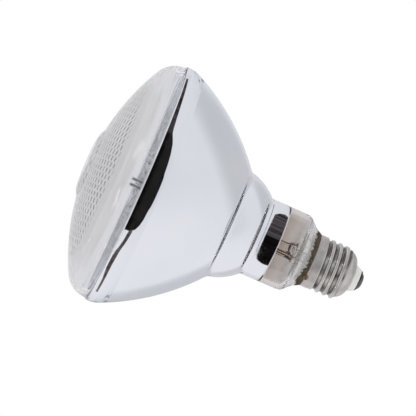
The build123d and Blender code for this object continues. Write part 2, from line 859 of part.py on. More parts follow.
def short_frame_rod():
    stations = [
        (seal_x, 0, seal_low),
        (seal_x, 0, seal_low - ROD_RUN),
        (HAIRPIN_OFFSET, HAIRPIN_HALF_WIDTH, hairpin_rear + HAIRPIN_LEAD_RUN),
        (HAIRPIN_OFFSET, HAIRPIN_HALF_WIDTH, hairpin_rear),
    ]
    return in_stem(wire(ROD_RADIUS, stations, LEAD_BEND))


def strap(side):
    """A metal strap round a pinch with a tab to the long rod."""
    inner = (PINCH_WIDTH + 2 * SEAT_GAP, PINCH_THICKNESS + 2 * SEAT_GAP)
    outer = (inner[0] + 2 * STRAP_THICKNESS, inner[1] + 2 * STRAP_THICKNESS)
    inner_round = PINCH_EDGE_ROUND + SEAT_GAP
    band = RectangleRounded(*outer, inner_round + STRAP_THICKNESS)
    band -= RectangleRounded(*inner, inner_round)
    tab_start = -inner[0] / 2 - STRAP_THICKNESS / 2
    tab_end = -ROD_OFFSET + ROD_RADIUS + SEAT_GAP
    tab = Pos((tab_start + tab_end) / 2, 0) * Rectangle(tab_start - tab_end, STRAP_THICKNESS)
    ring = extrude(band + tab, STRAP_HEIGHT / 2, both=True)
    return place_arc(Pos(0, 0, side * strap_middle) * ring)


def ballast_filament():
    """The hairpin of wound tungsten, as the outer shape of its winding."""
    high = HAIRPIN_HALF_WIDTH
    legs = [
        Line((HAIRPIN_OFFSET, high, hairpin_rear), (HAIRPIN_OFFSET, high, hairpin_bend)),
        ThreePointArc(
            (HAIRPIN_OFFSET, high, hairpin_bend),
            (HAIRPIN_OFFSET, 0, hairpin_apex),
            (HAIRPIN_OFFSET, -high, hairpin_bend),
        ),
        Line((HAIRPIN_OFFSET, -high, hairpin_bend), (HAIRPIN_OFFSET, -high, hairpin_rear)),
    ]
    path = Wire(legs)
    section = Plane((HAIRPIN_OFFSET, high, hairpin_rear), z_dir=(0, 0, -1)) * Circle(FILAMENT_RADIUS)
    return in_stem(sweep(section, path))


def hook_root():
    """Start of the hook inside the bead."""
    return BEAD_OFFSET + (BEAD_LENGTH + BEAD_CORE) / 2


def filament_bead():
    start = (BEAD_OFFSET, 0, crossbar_height)
    end = (BEAD_OFFSET + BEAD_LENGTH, 0, crossbar_height)
    bead = rod(BEAD_RADIUS, start, end)
    bead = fillet(bead.edges().filter_by(GeomType.CIRCLE), BEAD_EDGE_ROUND)
    rod_end = BEAD_OFFSET + (BEAD_LENGTH - BEAD_CORE) / 2 + SEAT_GAP
    bead -= rod(ROD_RADIUS + SEAT_GAP, start, (rod_end, 0, crossbar_height))
    bead -= rod(HOOK_RADIUS + SEAT_GAP, (hook_root() - SEAT_GAP, 0, crossbar_height), end)
    return in_stem(bead)


def filament_hook():
    loop = FILAMENT_RADIUS + HOOK_RADIUS + SEAT_GAP
    side = HAIRPIN_OFFSET + loop
    corner = point(side - LEAD_BEND, crossbar_height + LEAD_BEND)
    start = point(hook_root(), crossbar_height)
    turn_start = point(corner.X, crossbar_height)
    turn_end = point(side, corner.Z)
    rise_end = point(side, hairpin_apex)
    path = Wire(
        [
            Line(start, turn_start),
            arc(corner, turn_start, turn_end),
            Line(turn_end, rise_end),
            ThreePointArc(
                rise_end,
                point(HAIRPIN_OFFSET, hairpin_apex + loop),
                point(HAIRPIN_OFFSET - loop, hairpin_apex),
            ),
        ]
    )
    section = Plane(start, z_dir=(1, 0, 0)) * Circle(HOOK_RADIUS)
    return in_stem(sweep(section, path))


def starting_resistor():
    low = seam + RESISTOR_DEPTH
    body = rod(
        RESISTOR_RADIUS, (RESISTOR_X, RESISTOR_Y, low), (RESISTOR_X, RESISTOR_Y, low + RESISTOR_LENGTH)
    )
    way = Vector(-ROD_OFFSET - RESISTOR_X, -RESISTOR_Y, 0)
    reach = way.length - ROD_RADIUS - SEAT_GAP
    weld = Vector(RESISTOR_X, RESISTOR_Y, low - RESISTOR_LEAD_RUN) + way.normalized() * reach
    tail = wire(
        ARC_LEAD_RADIUS,
        [
            (RESISTOR_X, RESISTOR_Y, low),
            (RESISTOR_X, RESISTOR_Y, low - RESISTOR_LEAD_RUN),
            weld,
        ],
        LEAD_BEND,
    )
    return in_stem(body + tail)


# Every node of the bulb

bulb = reflector_bulb()
shell = cap_shell()
cement = basing_cement()
shell_lead = side_lead()

nodes = {
    "front_lens": front_lens(),
    "reflector_bulb": bulb,
    "mirror_coating": mirror_coating(),
    "cap_shell": shell,
    "cap_insulator": cap_insulator(),
    "contact_plate": contact_plate(),
    "contact_solder": contact_solder(),
    "basing_cement": cement,
    "side_solder": side_solder([bulb, shell, cement, shell_lead]),
    "stem": stem(),
    "centre_seal": press_seal(1),
    "side_seal": press_seal(-1),
    "exhaust_tube": exhaust_tube(),
    "centre_lead": centre_lead(),
    "side_lead": shell_lead,
    "arc_tube": arc_tube(),
    "front_electrode": place_arc(main_electrode(0, -1)),
    "rear_electrode": place_arc(main_electrode(0, 1)),
    "starting_electrode": place_arc(starting_probe(0)),
    "seal_foils": seal_foils(),
    "front_arc_lead": front_arc_lead(),
    "rear_arc_lead": rear_arc_lead(),
    "probe_lead": probe_lead(),
    "mercury_drop": mercury_drop(),
    "long_frame_rod": long_frame_rod(),
    "short_frame_rod": short_frame_rod(),
    "front_strap": strap(-1),
    "rear_strap": strap(1),
    "ballast_filament": ballast_filament(),
    "filament_bead": filament_bead(),
    "filament_hook": filament_hook(),
    "starting_resistor": starting_resistor(),
}

os.makedirs("parts", exist_ok=True)
for name, part in nodes.items():
    export_step(part, f"parts/{name}.step")
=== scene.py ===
import math

import bmesh
import bpy
import numpy as np
from mathutils import Matrix, Vector, noise


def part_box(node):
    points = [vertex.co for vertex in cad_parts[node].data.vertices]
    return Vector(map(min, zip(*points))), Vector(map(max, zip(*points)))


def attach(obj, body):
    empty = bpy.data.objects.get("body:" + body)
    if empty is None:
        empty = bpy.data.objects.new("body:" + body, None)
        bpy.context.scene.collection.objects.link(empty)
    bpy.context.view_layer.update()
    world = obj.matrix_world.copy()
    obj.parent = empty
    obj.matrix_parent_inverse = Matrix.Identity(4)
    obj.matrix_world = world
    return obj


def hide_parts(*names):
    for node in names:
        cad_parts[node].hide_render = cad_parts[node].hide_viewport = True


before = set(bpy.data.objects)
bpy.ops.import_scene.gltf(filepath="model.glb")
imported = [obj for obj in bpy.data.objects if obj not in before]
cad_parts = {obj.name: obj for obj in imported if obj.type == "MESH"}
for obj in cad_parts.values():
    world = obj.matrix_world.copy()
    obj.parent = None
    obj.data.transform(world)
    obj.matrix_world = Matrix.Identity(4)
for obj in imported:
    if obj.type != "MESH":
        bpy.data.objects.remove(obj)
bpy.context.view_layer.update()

# Looks of a mercury vapor reflector bulb, standing on its lens with the screw cap up.
# Outlines are in millimetres and meshes in metres. The glass follows the part's source, apart from
# the lenslets, a softer crease and a hairline gap at the seam.
MM = 0.001

# Front lens
RIM_RADIUS = 59.5
SEAM = 25.4
LENS_WALL = 3.8
DOME_RADIUS = 114.0
CORNER_RADIUS = 12.0
BOSS_PROUD = 0.8
BOSS_FLAT_RADIUS = 10.5
BOSS_FOOT_RADIUS = 17.2
EDGE_ROUND = 0.6
FLANGE_START = 20.2

# The lens stops this far below the seam, so that its face and the bowl's don't coincide
SEAM_GAP = 0.04

# Two index ribs on the lens flange; sweep and side are angles in degrees
RIB_WIDTH = 1.4
RIB_PROUD = 0.45
RIB_SPACING = 2.8
RIB_SWEEP = 24.0
RIB_SIDE = -90.0
RIB_FLANK = 0.2

# Lenslets pressed into the lens's inside, and painted shade in the grooves between them, for the shade
# on the lenslets' flanks. The grooves' start and end are distances from a lenslet's middle, and the
# squash makes those across the view the stronger.
STIPPLE_PITCH = 3.5
STIPPLE_DEPTH = 0.5
STIPPLE_REACH = 48.0
STIPPLE_FADE = 2.5
GROOVE_SHADE_START = 1.1
GROOVE_SHADE_END = 1.5
GROOVE_SHADE_SQUASH = 0.62

# Near the axis the grooves' painted shade shows less through the lens's outside: in this share up to
# the first radius, and in full from the second
CALM_SHARE = 0.45
CALM_START = 12.0
CALM_END = 30.0

# Reflector bulb; the shoulder's angle is in degrees
BULB_WALL = 2.4
LIP_PROUD = 0.9
LIP_CREST = 27.0
LIP_ARC_RADIUS = 13.0
BOWL_ARC_RADIUS = 112.0
CREASE_HEIGHT = 74.4
HEEL_RADIUS = 27.6
HEEL_CENTRE = 69.0
CREASE_FILLET = 4.0
NECK_RADIUS = 19.5
NECK_FILLET = 2.5
NECK_END = 107.1
SHOULDER_ROUND = 5.0
SHOULDER_ANGLE = 44.0
TAIL_RADIUS = 10.6
TAIL_FILLET = 1.5
TAIL_END = 123.0

# Mirror coating, let a hair into the glass that carries it
COATING_THICKNESS = 0.15
COATING_BITE = 0.02
COATING_START = 25.9
COATING_END = 98.4

# Screw cap
SKIRT_LENGTH = 4.0
SKIRT_RADIUS = 13.25
SKIRT_BORE = 12.85
THREAD_LENGTH = 13.6

# Dirt and painted shade in the thread's grooves: distances from the axis where it is full and gone,
# and its share by x, low in bands that are left bright as painted highlights
DIRT_AND_SHADE_FULL = 12.2
DIRT_AND_SHADE_GONE = 12.9
DIRT_AND_SHADE_REACH = 14.0
# The low shares by x leave bands of bright thread: painted highlights
DIRT_AND_SHADE_SHARES = [(-10.0, 1.0), (-5.0, 0.8), (-2.0, 0.1), (2.0, 1.0), (6.0, 0.1), (10.0, 1.0)]

# Cement that climbs the glass from the cap's rim. Its height is a share between the two rises: a
# mean, waves of noise by scale and size, and a smear round the side solder.
CEMENT_LOW_RISE = 0.7
CEMENT_HIGH_RISE = 3.9
CEMENT_MEAN = 0.38
CEMENT_RAGGED = 0.6
CEMENT_WAVES = [(2.2, 0.5), (12.0, 0.8), (34.0, 0.7), (70.0, 0.4)]
CEMENT_SEED = 4.0
CEMENT_SMEAR = 0.5
CEMENT_SMEAR_WIDTH = 0.22

# The cement's section: a lip under the rim, a bead, a film up the cone and a thin edge, let a hair
# into the glass; lumps thicken and thin it
CEMENT_LIP = 0.1
CEMENT_LIP_DROP = 0.25
CEMENT_BEAD = 0.6
CEMENT_BEAD_DROP = 0.6
CEMENT_FILM = 0.45
CEMENT_TAPER = 0.3
CEMENT_EDGE = 0.08
CEMENT_TUCK = 0.1
CEMENT_BITE = 0.02
CEMENT_ROOT = 0.2
CEMENT_LUMP = 0.7
CEMENT_LUMP_SCALE = 14.0

# Mesh fineness: the sag of arcs, lengths of steps, and counts of steps round the axis. A straight
# run that is long enough for it has a short step at each end.
ARC_SAG = 0.004
ARC_LEAST_STEPS = 4
RUN_STEP = 2.0
RIM_STEP = 0.5
END_STEP = 0.12
LEAST_STEPPED_RUN = 6 * END_STEP
STIPPLE_STEP = 0.45
LENS_STEPS = 460
GLASS_STEPS = 400
CEMENT_STEPS = 480
FLOOR_STEPS = 64

# Places beside the middle of a rib's flank, in flank widths, that get a line of the mesh
RIB_LINES = (-0.6, 0.6)

# Points of an outline nearer than this are one, and so are points of a mesh, in metres
SAME_POINT = 1e-6
SAME_VERTEX = 1e-8

# Angles in degrees from which an edge is shaded sharp
LENS_SHARP = 40
GLASS_SHARP = 18
CEMENT_SHARP = 60

# Material slots of the lens, after the flange's own
RIB_SLOT = 1
INSIDE_SLOT = 2
OUTSIDE_SLOT = 3

# Refractive indices. Over the mirror it is low, because light that enters steeply is otherwise
# caught between mirror and glass, and it changes just below the mirror's end.
GLASS_INDEX = 1.48
MIRROR_GLASS_INDEX = 1.2
INDEX_CHANGE = 0.2
STEM_INDEX = 1.54
QUARTZ_INDEX = 1.46

# How clear the glass is: 1 is clear, and less is partly milky
FLANGE_CLEAR = 0.92
DOME_CLEAR = 0.59
RIB_CLEAR = 0.35
CONE_CLEAR = 0.74
CONE_CLOUD_START = 106.0
CONE_CLOUD_FULL = 111.0

# Tint of the bulb's glass: position from just below the mirror's end to the tail's end, and colour
NECK_TINT_START = COATING_END - 0.6
NECK_TINT = [
    (0.0, (0.97, 0.98, 0.99)),
    (0.03, (0.69, 0.64, 0.595)),
    (0.30, (0.76, 0.72, 0.68)),
    (0.55, (0.97, 0.96, 0.95)),
]

# How much paler the palest streaks of clear glass are than its tint
GLASS_PALER = 1.02

# Values of a noise at which a mottled colour is at its darker and its lighter end
MOTTLE_DARK = 0.3
MOTTLE_LIGHT = 0.7

# Plain metals: darker and lighter colour, lowest and highest roughness, scale of the grain
METALS = {
    "nickel_wire": ((0.42, 0.40, 0.37), (0.62, 0.60, 0.57), 0.2, 0.4, 200.0),
    "copper_wire": ((0.42, 0.20, 0.11), (0.72, 0.42, 0.27), 0.25, 0.45, 200.0),
    "tungsten": ((0.16, 0.16, 0.17), (0.32, 0.32, 0.33), 0.35, 0.55, 200.0),
    "molybdenum": ((0.42, 0.42, 0.44), (0.58, 0.58, 0.60), 0.25, 0.4, 200.0),
    "strap_steel": ((0.48, 0.48, 0.48), (0.68, 0.68, 0.68), 0.2, 0.35, 200.0),
    # The contact's and the solder's near-black colours are painted reflection of dark surroundings in
    # the metal
    "contact_brass": ((0.02, 0.018, 0.016), (0.13, 0.12, 0.105), 0.2, 0.45, 350.0),
    "solder": ((0.03, 0.03, 0.03), (0.24, 0.235, 0.23), 0.15, 0.4, 400.0),
    "mercury": ((0.78, 0.79, 0.81), (0.84, 0.85, 0.87), 0.02, 0.05, 200.0),
}

# Camera, from the photograph's view of the axis; places in metres
IMAGE_SIZE = 416
SENSOR = 36.0
PIXELS_PER_MM = 2.10
CAMERA_PLACE = Vector((0.0, -1.47, -0.0646))
CAMERA_TARGET = Vector((-0.00294, 0.0, 0.0620))
CAMERA_RANGE = 20.0
AXIS_IN_IMAGE = (0.9147, 0.4041)

# Studio, in metres. Cards and lamps stand in directions from the bulb, in degrees: a turn about
# the axis from the camera's side towards the photo's top, and a lift towards the cap.
FLOOR_RADIUS = 3.0
CARD_REACH = 4.0
CARD_STEP = 1.0
STUDIO_CENTRE = Vector((0.0, 0.0, CAMERA_TARGET.z))

# Colours of the studio
WHITE = (1.0, 1.0, 1.0)
FLOOR_COLOUR = (0.98, 0.98, 0.98)
BLACK = (0.002, 0.002, 0.002)
BLACK_STREAK = (0.008, 0.006, 0.006)
DARK_GREY = (0.012, 0.010, 0.010)
BAND_STREAK = (0.06, 0.05, 0.055)
GREY_STREAK = (0.105, 0.09, 0.098)
LINE_GREY = (0.05, 0.035, 0.035)
LINE_STREAK = (0.12, 0.09, 0.09)
LOW_EDGE_GREY = (0.16, 0.15, 0.16)
LAMP_COLOUR = (1.0, 0.96, 0.97)

# Cards that the mirror shows: low and high edge by turn and lift, darker and lighter streaks
CARDS = {
    "black_card": (
        [
            (-46, 6.1), (-45, 1), (-44, -0.6), (-42, -3.2), (-36, -5.4), (-29, -6.4), (-15, -6.7),
            (15, -6.7), (27, -6.4), (37, -5.6), (49, -3.6), (57, -1), (62, 1),
        ],
        [(-46, 6.2), (62, 6.2)],
        BLACK,
        BLACK_STREAK,
    ),
    "block_card": (
        [
            (-77, 6.72), (-75, 6.64), (-72, 6.57), (-67, 6.52), (-54, 6.485), (-46, 6.48),
            (16, 6.48),
        ],
        [(-77, 6.75), (-74, 6.95), (-68, 7.3), (16, 7.3)],
        BLACK,
        BLACK_STREAK,
    ),
    "band_card": (
        [(58, -0.5), (64, 0.3), (76, 0.9), (91, 1.3), (109, 1.5), (142, 1.8)],
        [(58, 6.2), (142, 6.2)],
        DARK_GREY,
        BAND_STREAK,
    ),
    "grey_card": (
        [(16, 6.48), (75, 6.50), (94, 6.51), (107, 6.61), (113, 6.75)],
        [(16, 7.3), (99, 7.3), (104, 6.89), (113, 6.76)],
        DARK_GREY,
        GREY_STREAK,
    ),
    "line_card": (
        [(-140, -0.7), (-114, 0.0), (-90, 0.8), (-70, 0.4), (-56, -1.2), (-44, -2.0)],
        [(-140, 1.5), (-114, 2.3), (-90, 3.4), (-70, 3.0), (-56, 1.5), (-44, 1.0)],
        LINE_GREY,
        LINE_STREAK,
    ),
    "low_edge_card": (
        [(-179, 2.0), (-168, 2.0)],
        [(-179, 6.2), (-168, 6.2)],
        LOW_EDGE_GREY,
        LOW_EDGE_GREY,
    ),
}

# Bright four-cornered cards, and small lamps
SOFTBOXES = [
    [(75, -63), (49, -52), (37, -66), (99, -79)],
    [(-74, -84), (-23, -73), (-40, -61), (-66, -68)],
]
SOFTBOX_STRENGTH = 4.0
LAMPS = [(75.0, 2.6), (-71.0, -21.0)]
LAMP_WIDTH = 2.4
LAMP_STRENGTH = 14.0

# Plain light for dull surfaces, and the pale tent that shiny ones show. The tent's soft shades:
# direction, angles of full and no effect, colour.
PLAIN_LEVEL = 0.95
TENT = (0.765, 0.768, 0.803)
TENT_SHADES = [
    ((150, 42), 18, 38, (0.77, 0.77, 0.765)),
    ((-165, 25), 10, 25, (0.75, 0.75, 0.76)),
    ((8, 18), 24, 48, (0.95, 0.95, 0.95)),
    ((-105, 30), 20, 85, (1.11, 1.095, 1.09)),
]


# Outlines

def polar(centre, radius, angle):
    """A point of the meridian plane at an angle, in degrees, about a centre."""
    turn = math.radians(angle)
    return (centre[0] + radius * math.cos(turn), centre[1] + radius * math.sin(turn))


def angle_to(centre, target):
    """Direction in degrees from a centre to a target in the meridian plane."""
    return math.degrees(math.atan2(target[1] - centre[1], target[0] - centre[0]))


def arc(centre, radius, start, end):
    """Points along an arc, from a start angle to an end angle."""
    length = abs(math.radians(end - start)) * radius
    step = 2 * math.sqrt(2 * radius * ARC_SAG)
    count = max(ARC_LEAST_STEPS, math.ceil(length / step))
    return [polar(centre, radius, start + (end - start) * i / count) for i in range(count + 1)]


def line(start, end, step=RUN_STEP):
    """Points along a straight run, with close ones at its ends so that its shading stays flat."""
    length = math.dist(start, end)
    count = max(1, round(length / step))
    shares = [i / count for i in range(count + 1)]
    if length > LEAST_STEPPED_RUN:
        shares = sorted(shares + [END_STEP / length, 1 - END_STEP / length])
    return [tuple(a + (b - a) * share for a, b in zip(start, end)) for share in shares]


def joined(*runs):
    """Runs of points as one outline, without the points that repeat."""
    outline = []
    for run in runs:
        for place in run:
            if not outline or math.dist(outline[-1], place) > SAME_POINT:
                outline.append(place)
    return outline


def meeting(centre_a, reach_a, centre_b, reach_b, side):
    """The point at given reaches from two centres; side 1 is outward and -1 inward."""
    span = (centre_b[0] - centre_a[0], centre_b[1] - centre_a[1])
    length = math.hypot(*span)
    along = (reach_a**2 - reach_b**2 + length**2) / (2 * length)
    across = math.sqrt(reach_a**2 - along**2) * side
    way = (span[0] / length, span[1] / length)
    return (
        centre_a[0] + way[0] * along + way[1] * across,
        centre_a[1] + way[1] * along - way[0] * across,
    )


# Centres of the outlines' arcs, and the sizes that follow from them
dome_centre = (0.0, BOSS_PROUD + DOME_RADIUS)
corner_x = RIM_RADIUS - CORNER_RADIUS
corner_rise = math.sqrt((DOME_RADIUS - CORNER_RADIUS) ** 2 - corner_x**2)
corner_centre = (corner_x, dome_centre[1] - corner_rise)
corner_angle = angle_to(dome_centre, corner_centre)
inner_dome_radius = DOME_RADIUS - LENS_WALL
land_radius = RIM_RADIUS - LENS_WALL
lip_radius = RIM_RADIUS + LIP_PROUD
lip_centre = (lip_radius - LIP_ARC_RADIUS, LIP_CREST)
heel_centre = (0.0, HEEL_CENTRE)
crease_radius = math.sqrt(HEEL_RADIUS**2 - (CREASE_HEIGHT - HEEL_CENTRE) ** 2)
bowl_centre = meeting(
    lip_centre, BOWL_ARC_RADIUS - LIP_ARC_RADIUS, (crease_radius, CREASE_HEIGHT), BOWL_ARC_RADIUS, -1
)
crease_centre = meeting(
    bowl_centre, BOWL_ARC_RADIUS + CREASE_FILLET, heel_centre, HEEL_RADIUS + CREASE_FILLET, 1
)
neck_x = NECK_RADIUS + NECK_FILLET
neck_centre = (neck_x, HEEL_CENTRE + math.sqrt((HEEL_RADIUS + NECK_FILLET) ** 2 - neck_x**2))
shoulder_centre = (NECK_RADIUS - SHOULDER_ROUND, NECK_END)
cone_turn = math.radians(SHOULDER_ANGLE)
cone_reach = (
    shoulder_centre[0] * math.cos(cone_turn) + shoulder_centre[1] * math.sin(cone_turn) + SHOULDER_ROUND
)
tail_x = TAIL_RADIUS + TAIL_FILLET
tail_centre = (
    tail_x,
    (cone_reach + TAIL_FILLET - math.cos(cone_turn) * tail_x) / math.sin(cone_turn),
)

# The cap's rim, and the side solder's angle round the axis
cap_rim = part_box("cap_shell")[0].z / MM
solder_middle = sum(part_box("side_solder"), Vector()) / 2
solder_angle = math.atan2(solder_middle.y, solder_middle.x)


def cone_radius(height):
    """Radius of the glass cone that the cap's cement sits on."""
    return (cone_reach - math.sin(cone_turn) * height) / math.cos(cone_turn)


def bowl_curves(start_angle, inset):
    """The curved run from an angle on the bowl's arc to the start of the neck."""
    crease_angle = angle_to(bowl_centre, crease_centre)
    heel_start = angle_to(heel_centre, crease_centre)
    heel_end = angle_to(heel_centre, neck_centre)
    return joined(
        arc(bowl_centre, BOWL_ARC_RADIUS - inset, start_angle, crease_angle),
        arc(crease_centre, CREASE_FILLET + inset, crease_angle + 180, heel_start + 180),
        arc(heel_centre, HEEL_RADIUS - inset, heel_start, heel_end),
        arc(neck_centre, NECK_FILLET + inset, heel_end + 180, 180),
    )


def bowl_outline(start_height, inset):
    """The bowl's inside, from a height on its land to the neck, at an inset from the outside."""
    radius = land_radius - (inset - BULB_WALL)
    rise = math.sqrt((BOWL_ARC_RADIUS - inset) ** 2 - (radius - bowl_centre[0]) ** 2)
    bowl_start = (radius, bowl_centre[1] + rise)
    return joined(
        line((radius, start_height), bowl_start),
        bowl_curves(angle_to(bowl_centre, bowl_start), inset),
    )


def neck_outline(inset):
    """Neck, shoulder, cone and tail at an inset from the outside."""
    return joined(
        line((NECK_RADIUS - inset, neck_centre[1]), (NECK_RADIUS - inset, NECK_END)),
        arc(shoulder_centre, SHOULDER_ROUND - inset, 0, SHOULDER_ANGLE),
        arc(tail_centre, TAIL_FILLET + inset, SHOULDER_ANGLE + 180, 180),
        line((TAIL_RADIUS - inset, tail_centre[1]), (TAIL_RADIUS - inset, TAIL_END)),
    )


# Meshes

def even_angles(count):
    """Evenly spaced angles round the axis."""
    return [2 * math.pi * k / count for k in range(count)]


def turn_between(angle, middle):
    """The turn from a middle angle to another, from minus to plus half a circle."""
    return (angle - middle + math.pi) % (2 * math.pi) - math.pi


def ring(radius, height, angles):
    """One ring of points in metres, or a single one on the axis."""
    if radius < SAME_POINT:
        return [(0.0, 0.0, height * MM)]
    return [(radius * math.cos(a) * MM, radius * math.sin(a) * MM, height * MM) for a in angles]


def shell_mesh(name, rings, sharp_angle):
    """A mesh from rings of points about the axis; a ring of one point is a pole."""
    verts = []
    starts = []
    for points in rings:
        starts.append(len(verts))
        verts.extend(points)
    faces = []
    for index, (first, second) in enumerate(zip(rings, rings[1:])):
        count = max(len(first), len(second))
        for k in range(count):
            after = (k + 1) % count
            corners = [starts[index]]
            if len(first) > 1:
                corners = [starts[index] + k, starts[index] + after]
            if len(second) > 1:
                corners += [starts[index + 1] + after, starts[index + 1] + k]
            else:
                corners.append(starts[index + 1])
            faces.append(corners)
    mesh = bpy.data.meshes.new(name)
    mesh.from_pydata(verts, [], faces)
    build = bmesh.new()
    build.from_mesh(mesh)
    bmesh.ops.remove_doubles(build, verts=build.verts, dist=SAME_VERTEX)
    bmesh.ops.recalc_face_normals(build, faces=build.faces)
    build.to_mesh(mesh)
    build.free()
    mesh.polygons.foreach_set("use_smooth", [True] * len(mesh.polygons))
    mesh.set_sharp_from_angle(angle=math.radians(sharp_angle))
    return mesh


# Front lens

def stipple(x, y):
    """Height of the pressed lenslets: round bumps on a staggered grid, in millimetres."""
    row_step = STIPPLE_PITCH * math.sqrt(3) / 2
    best = STIPPLE_PITCH
    base_row = math.floor(x / row_step)
    for row in (base_row, base_row + 1):
        shift = STIPPLE_PITCH / 2 * (row % 2)
        column = round((y - shift) / STIPPLE_PITCH)
        best = min(best, math.hypot(x - row * row_step, y - column * STIPPLE_PITCH - shift))
    share = best / (STIPPLE_PITCH / math.sqrt(3))
    fade = (STIPPLE_REACH - math.hypot(x, y)) / STIPPLE_FADE
    return STIPPLE_DEPTH * max(0.0, 1 - share**2) * min(1.0, max(0.0, fade))


def rib_angles():
    """Middle angles of the two index ribs on the lens flange."""
    half = RIB_SPACING / 2 / RIM_RADIUS
    return [math.radians(RIB_SIDE) - half, math.radians(RIB_SIDE) + half]


def rib_height(angle):
    """How far the index ribs stand out of the flange at an angle round the axis."""
    gap = min(abs(turn_between(angle, middle)) for middle in rib_angles())
    edge = (RIB_WIDTH / 2 - gap * RIM_RADIUS) / RIB_FLANK
    return RIB_PROUD * min(1.0, max(0.0, edge + 0.5))


def lens_angles():
    """Angles round the lens, closer together at the index ribs."""
    angles = {round(a, 9) for a in even_angles(LENS_STEPS)}
    for middle in rib_angles():
        for side in (-1, 1):
            for place in RIB_LINES:
                offset = (RIB_WIDTH / 2 + place * RIB_FLANK) * side / RIM_RADIUS
                angles.add(round((middle + offset) % (2 * math.pi), 9))
    return sorted(angles)


def lens_outside(top):
    """Outline of the lens's outside, from the middle of its boss to its top."""
    foot_height = dome_centre[1] - math.sqrt(DOME_RADIUS**2 - BOSS_FOOT_RADIUS**2)
    foot_angle = angle_to(dome_centre, (BOSS_FOOT_RADIUS, foot_height))
    blend_width = BOSS_FOOT_RADIUS - BOSS_FLAT_RADIUS
    blend_radius = (blend_width**2 + foot_height**2) / (2 * foot_height)
    blend_angle = math.degrees(math.asin(blend_width / blend_radius))
    edge_centre = (RIM_RADIUS - EDGE_ROUND, top - EDGE_ROUND)
    return joined(
        [(0.0, 0.0), (BOSS_FLAT_RADIUS / 2, 0.0), (BOSS_FLAT_RADIUS, 0.0)],
        arc((BOSS_FLAT_RADIUS, blend_radius), blend_radius, -90, -90 + blend_angle),
        arc(dome_centre, DOME_RADIUS, foot_angle, corner_angle),
        arc(corner_centre, CORNER_RADIUS, corner_angle, 0),
        line((RIM_RADIUS, corner_centre[1]), (RIM_RADIUS, edge_centre[1]), RIM_STEP),
        arc(edge_centre, EDGE_ROUND, 0, 90),
    )


def flange_ring(radius, height, angles):
    """A ring of the lens's outside, with the index ribs where it lies on the flange."""
    lean = angle_to(corner_centre, (radius, height))
    if lean < -RIB_SWEEP or height > SEAM - EDGE_ROUND:
        return ring(radius, height, angles)
    turn = math.radians(min(0.0, lean))
    out, up = math.cos(turn), math.sin(turn)
    heights = [rib_height(a) for a in angles]
    return [ring(radius + h * out, height + h * up, [a])[0] for a, h in zip(angles, heights)]


def stippled_ring(radius, angles):
    """A ring of the lens's inside over the dome, raised by the lenslets."""
    base = dome_centre[1] - math.sqrt(inner_dome_radius**2 - radius**2)
    points = []
    for angle in angles:
        x = radius * math.cos(angle)
        y = radius * math.sin(angle)
        points.append((x * MM, y * MM, (base + stipple(x, y)) * MM))
    return points


def front_lens():
    """The lens: its outside with the ribs, the land inside the flange and the stippled dome."""
    angles = lens_angles()
    top = SEAM - SEAM_GAP
    land = joined(
        line((land_radius, top), (land_radius, corner_centre[1])),
        arc(corner_centre, CORNER_RADIUS - LENS_WALL, 0, corner_angle),
    )
    rings = [flange_ring(radius, height, angles) for radius, height in lens_outside(top)]
    rings += [ring(radius, height, angles) for radius, height in land]
    dome_edge = polar(dome_centre, inner_dome_radius, corner_angle)[0]
    count = round(dome_edge / STIPPLE_STEP)
    rings += [stippled_ring(dome_edge * (1 - k / count), angles) for k in range(1, count)]
    rings.append(stippled_ring(0.0, [0.0]))
    return shell_mesh("front_lens_glass", rings, LENS_SHARP)


def mark_lens_faces(mesh):
    """Give the index ribs, the dome's inside and its outside their own materials."""
    for face in mesh.polygons:
        x, y, z = face.center / MM
        place = (math.hypot(x, y), z)
        foot = (corner_centre[0], max(z, corner_centre[1]))
        proud = math.dist(place, foot) > CORNER_RADIUS + RIB_PROUD / 2
        if angle_to(dome_centre, place) < corner_angle:
            inside = math.dist(place, dome_centre) < DOME_RADIUS - LENS_WALL / 2
        else:
            inside = math.dist(place, corner_centre) < CORNER_RADIUS - LENS_WALL / 2
        if proud and abs(angle_to(corner_centre, place)) < RIB_SWEEP:
            face.material_index = RIB_SLOT
        elif z < FLANGE_START:
            face.material_index = INSIDE_SLOT if inside else OUTSIDE_SLOT


# Reflector bulb and its mirror

def reflector_glass():
    """The bulb's glass: the lip and the outside up to the tail, and the inside back down."""
    angles = even_angles(GLASS_STEPS)
    edge_centre = (lip_radius - EDGE_ROUND, SEAM + EDGE_ROUND)
    lip_end = angle_to(bowl_centre, lip_centre)
    outline = joined(
        line((land_radius, SEAM), (edge_centre[0], SEAM)),
        arc(edge_centre, EDGE_ROUND, -90, 0),
        line((lip_radius, edge_centre[1]), (lip_radius, LIP_CREST), RIM_STEP),
        arc(lip_centre, LIP_ARC_RADIUS, 0, lip_end),
        bowl_curves(lip_end, 0.0),
        neck_outline(0.0),
        neck_outline(BULB_WALL)[::-1],
        bowl_outline(SEAM, BULB_WALL)[::-1],
    )
    rings = [ring(radius, height, angles) for radius, height in outline]
    rings[-1] = rings[0]
    return shell_mesh("reflector_glass", rings, GLASS_SHARP)


def mirror_layer():
    """The coating on the bulb's inside, from above the seam to part of the way up the neck."""
    angles = even_angles(GLASS_STEPS)
    back = BULB_WALL - COATING_BITE
    face = BULB_WALL + COATING_THICKNESS
    outline = joined(
        bowl_outline(COATING_START, back),
        line((NECK_RADIUS - back, neck_centre[1]), (NECK_RADIUS - back, COATING_END)),
        line((NECK_RADIUS - face, COATING_END), (NECK_RADIUS - face, neck_centre[1])),
        bowl_outline(COATING_START, face)[::-1],
    )
    rings = [ring(radius, height, angles) for radius, height in outline]
    rings.append(rings[0])
    return shell_mesh("mirror_layer", rings, GLASS_SHARP)


# Cap cement

def noise_place(angle):
    """Where the cement's noise is read for an angle round the axis."""
    return Vector((math.cos(angle), math.sin(angle), CEMENT_SEED))


